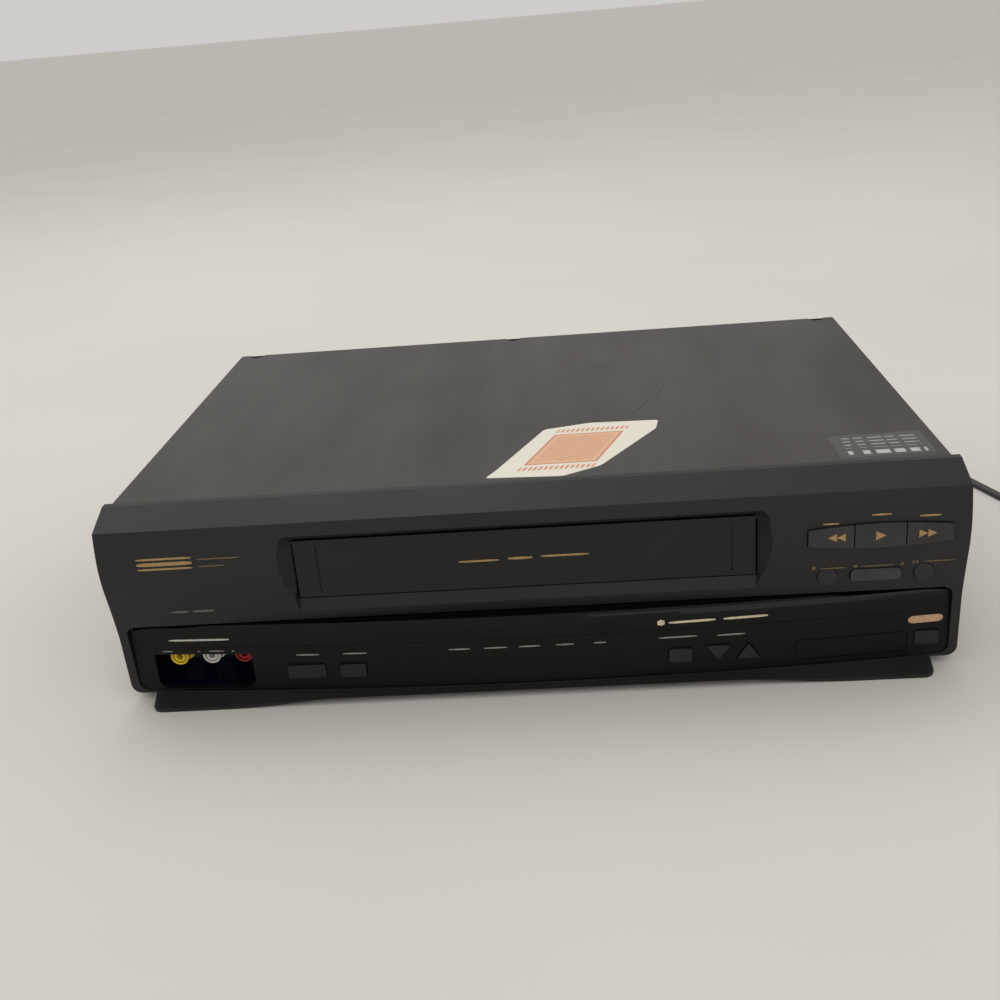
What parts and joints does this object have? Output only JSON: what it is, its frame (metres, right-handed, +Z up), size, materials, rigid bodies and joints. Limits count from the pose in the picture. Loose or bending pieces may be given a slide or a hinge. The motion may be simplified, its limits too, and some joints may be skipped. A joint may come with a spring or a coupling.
{
  "type": "video cassette recorder",
  "caption": "Front-loading VHS video cassette recorder with a bowed front panel, smoked window, hinged cassette door and a working tape deck inside.",
  "frame": {"origin": "on the table under the middle of the box round the recorder without its mains lead", "axes": "+X to the right as seen from the front, +Y from the front to the back, +Z up"},
  "size_m": [0.5623, 0.3389, 0.095],
  "materials": {
    "cover_paint": "fine textured dark brownish-grey paint",
    "bezel_plastic": "finely grained dark blue-grey moulding",
    "panel_plastic": "smooth matte black",
    "smoked_window": "polished smoked black",
    "door_plastic": "finely grained charcoal",
    "button_plastic": "satin dark grey",
    "galvanised": "zinc-plated sheet",
    "black_screw": "black oxide",
    "foot_rubber": "soft black",
    "board": "brown phenolic board with black and silver components",
    "switch_plastic": "black",
    "yellow_jack": "yellow",
    "white_jack": "white",
    "red_jack": "red",
    "lamination": "varnished iron laminations round a copper winding",
    "tinplate": "tin-plated screening can",
    "deck_steel": "zinc-plated pressing",
    "drum_alloy": "finely turned",
    "ground_steel": "ground and polished",
    "black_acetal": "self-lubricating black",
    "white_acetal": "natural white acetal",
    "drive_rubber": "ground black rubber",
    "motor_steel": "plated can",
    "lead_rubber": "satin black flexible sheath"
  },
  "bodies": {
    "case": {"top_cover": "cover_paint", "front_bezel": "bezel_plastic", "control_panel": "panel_plastic", "display_window": "smoked_window", "bottom_chassis": "galvanised", "rear_panel": "galvanised", "rear_feet": "foot_rubber", "cover_screws": "black_screw", "front_board": "board", "tact_switches": "switch_plastic", "front_video_jack": "yellow_jack", "front_audio_left_jack": "white_jack", "front_audio_right_jack": "red_jack", "main_board": "board", "power_board": "board", "power_transformer": "lamination", "tuner_module": "tinplate", "rear_video_jacks": "yellow_jack", "rear_audio_left_jacks": "white_jack", "rear_audio_right_jacks": "red_jack", "deck_plate": "deck_steel", "side_bracket_left": "deck_steel", "side_bracket_right": "deck_steel", "lower_drum": "drum_alloy", "drive_belt": "drive_rubber", "loading_motor": "motor_steel", "erase_head": "ground_steel", "audio_head": "ground_steel", "strain_relief": "lead_rubber", "cord_lead": "lead_rubber", "cord_coil": "lead_rubber", "plug": "lead_rubber"},
    "power_cap": {"power_button": "button_plastic"},
    "source_cap": {"source_button": "button_plastic"},
    "tape_speed_cap": {"tape_speed_button": "button_plastic"},
    "channel_down_cap": {"channel_down_button": "button_plastic"},
    "channel_up_cap": {"channel_up_button": "button_plastic"},
    "auto_return_cap": {"auto_return_button": "button_plastic"},
    "rewind_cap": {"rewind_button": "button_plastic"},
    "play_cap": {"play_button": "button_plastic"},
    "fast_forward_cap": {"fast_forward_button": "button_plastic"},
    "record_cap": {"record_button": "button_plastic"},
    "stop_eject_cap": {"stop_eject_button": "button_plastic"},
    "pause_cap": {"pause_button": "button_plastic"},
    "door": {"cassette_door": "door_plastic"},
    "slides": {"holder_slides": "black_acetal"},
    "holder": {"cassette_holder": "tinplate"},
    "lift": {"lift_shaft": "ground_steel"},
    "drum": {"upper_drum": "drum_alloy"},
    "flywheel": {"capstan": "ground_steel"},
    "pinch": {"pinch_lever": "deck_steel"},
    "roller": {"pinch_roller": "drive_rubber"},
    "supply": {"supply_reel": "black_acetal"},
    "take_up": {"take_up_reel": "black_acetal"},
    "idler": {"idler_gear": "white_acetal"},
    "worm": {"loading_worm": "white_acetal"},
    "cam": {"cam_gear": "white_acetal"},
    "supply_sled": {"supply_guide": "ground_steel"},
    "take_up_sled": {"take_up_guide": "ground_steel"},
    "tension": {"tension_arm": "deck_steel"}
  },
  "joints": [
    {"name": "power_press", "type": "slide", "parent": "case", "child": "power_cap", "axis": [0, 1, 0], "range_m": [0, 0.0008], "stiffness_N_per_m": 400, "springref_m": -0.0004},
    {"name": "source_press", "type": "slide", "parent": "case", "child": "source_cap", "axis": [0, 1, 0], "range_m": [0, 0.0008], "stiffness_N_per_m": 400, "springref_m": -0.0004},
    {"name": "tape_speed_press", "type": "slide", "parent": "case", "child": "tape_speed_cap", "axis": [0, 1, 0], "range_m": [0, 0.0008], "stiffness_N_per_m": 400, "springref_m": -0.0004},
    {"name": "channel_down_press", "type": "slide", "parent": "case", "child": "channel_down_cap", "axis": [0, 1, 0], "range_m": [0, 0.0008], "stiffness_N_per_m": 400, "springref_m": -0.0004},
    {"name": "channel_up_press", "type": "slide", "parent": "case", "child": "channel_up_cap", "axis": [0, 1, 0], "range_m": [0, 0.0008], "stiffness_N_per_m": 400, "springref_m": -0.0004},
    {"name": "auto_return_press", "type": "slide", "parent": "case", "child": "auto_return_cap", "axis": [0, 1, 0], "range_m": [0, 0.0008], "stiffness_N_per_m": 400, "springref_m": -0.0004},
    {"name": "rewind_press", "type": "slide", "parent": "case", "child": "rewind_cap", "axis": [0, 1, 0], "range_m": [0, 0.0008], "stiffness_N_per_m": 400, "springref_m": -0.0004},
    {"name": "play_press", "type": "slide", "parent": "case", "child": "play_cap", "axis": [0, 1, 0], "range_m": [0, 0.0008], "stiffness_N_per_m": 400, "springref_m": -0.0004},
    {"name": "fast_forward_press", "type": "slide", "parent": "case", "child": "fast_forward_cap", "axis": [0, 1, 0], "range_m": [0, 0.0008], "stiffness_N_per_m": 400, "springref_m": -0.0004},
    {"name": "record_press", "type": "slide", "parent": "case", "child": "record_cap", "axis": [0, 1, 0], "range_m": [0, 0.0008], "stiffness_N_per_m": 400, "springref_m": -0.0004},
    {"name": "stop_eject_press", "type": "slide", "parent": "case", "child": "stop_eject_cap", "axis": [0, 1, 0], "range_m": [0, 0.0008], "stiffness_N_per_m": 400, "springref_m": -0.0004},
    {"name": "pause_press", "type": "slide", "parent": "case", "child": "pause_cap", "axis": [0, 1, 0], "range_m": [0, 0.0008], "stiffness_N_per_m": 400, "springref_m": -0.0004},
    {"name": "door_swing", "type": "hinge", "parent": "case", "child": "door", "pos_m": [-0.0011, -0.12815, 0.0777], "axis": [1, 0, 0], "range_deg": [0, 85], "stiffness_Nm_per_rad": 0.03, "springref_deg": -5.73},
    {"name": "holder_in", "type": "slide", "parent": "case", "child": "slides", "axis": [0, 1, 0], "range_m": [0, 0.066]},
    {"name": "holder_down", "type": "slide", "parent": "slides", "child": "holder", "axis": [0, 0, -1], "range_m": [0, 0.02]},
    {"name": "lift_spin", "type": "hinge", "parent": "case", "child": "lift", "pos_m": [-0.0011, 0.01685, 0.082], "axis": [1, 0, 0], "range_deg": [0, 680]},
    {"name": "drum_spin", "type": "hinge", "parent": "case", "child": "drum", "pos_m": [-0.0011, 0.05085, 0.0256], "axis": [-0.1045, 0, 0.9945], "continuous": true},
    {"name": "capstan_spin", "type": "hinge", "parent": "case", "child": "flywheel", "pos_m": [0.0509, -0.00315, 0.0256], "axis": [0, 0, 1], "continuous": true},
    {"name": "idler_spin", "type": "hinge", "parent": "case", "child": "idler", "pos_m": [0.01496, -0.0399, 0.028], "axis": [0, 0, 1], "continuous": true},
    {"name": "take_up_spin", "type": "hinge", "parent": "case", "child": "take_up", "pos_m": [0.0449, -0.05515, 0.028], "axis": [0, 0, 1], "continuous": true},
    {"name": "supply_spin", "type": "hinge", "parent": "case", "child": "supply", "pos_m": [-0.0471, -0.05515, 0.028], "axis": [0, 0, 1], "continuous": true},
    {"name": "pinch_swing", "type": "hinge", "parent": "case", "child": "pinch", "pos_m": [0.0749, 0.01885, 0.026], "axis": [0, 0, 1], "range_deg": [0, 46.4]},
    {"name": "roller_spin", "type": "hinge", "parent": "pinch", "child": "roller", "pos_m": [0.05103, 0.02306, 0.03], "axis": [0, 0, 1], "continuous": true},
    {"name": "cam_turn", "type": "hinge", "parent": "case", "child": "cam", "pos_m": [-0.0731, 0.04885, 0.0351], "axis": [0, 0, 1], "range_deg": [0, 270]},
    {"name": "worm_spin", "type": "hinge", "parent": "case", "child": "worm", "pos_m": [-0.09325, 0.04885, 0.0351], "axis": [0, 1, 0], "range_deg": [0, 12960]},
    {"name": "supply_guide_run", "type": "slide", "parent": "case", "child": "supply_sled", "axis": [-0.2169, 0.9762, 0], "range_m": [0, 0.0737]},
    {"name": "take_up_guide_run", "type": "slide", "parent": "case", "child": "take_up_sled", "axis": [0.2169, 0.9762, 0], "range_m": [0, 0.0737]},
    {"name": "tension_swing", "type": "hinge", "parent": "case", "child": "tension", "pos_m": [-0.0671, -0.00515, 0.026], "axis": [0, 0, 1], "range_deg": [0, 35], "stiffness_Nm_per_rad": 0.01}
  ],
  "couplings": [
    {"joint": "lift_spin", "follows": "holder_in", "rad_per_m": 178.57},
    {"joint": "idler_spin", "follows": "capstan_spin", "ratio": 0.5},
    {"joint": "take_up_spin", "follows": "capstan_spin", "ratio": -0.27778},
    {"joint": "cam_turn", "follows": "supply_guide_run", "rad_per_m": 63.857},
    {"joint": "worm_spin", "follows": "supply_guide_run", "rad_per_m": 3065.1},
    {"joint": "take_up_guide_run", "follows": "supply_guide_run", "ratio": 1},
    {"joint": "pinch_swing", "follows": "supply_guide_run", "rad_per_m": 10.971}
  ]
}
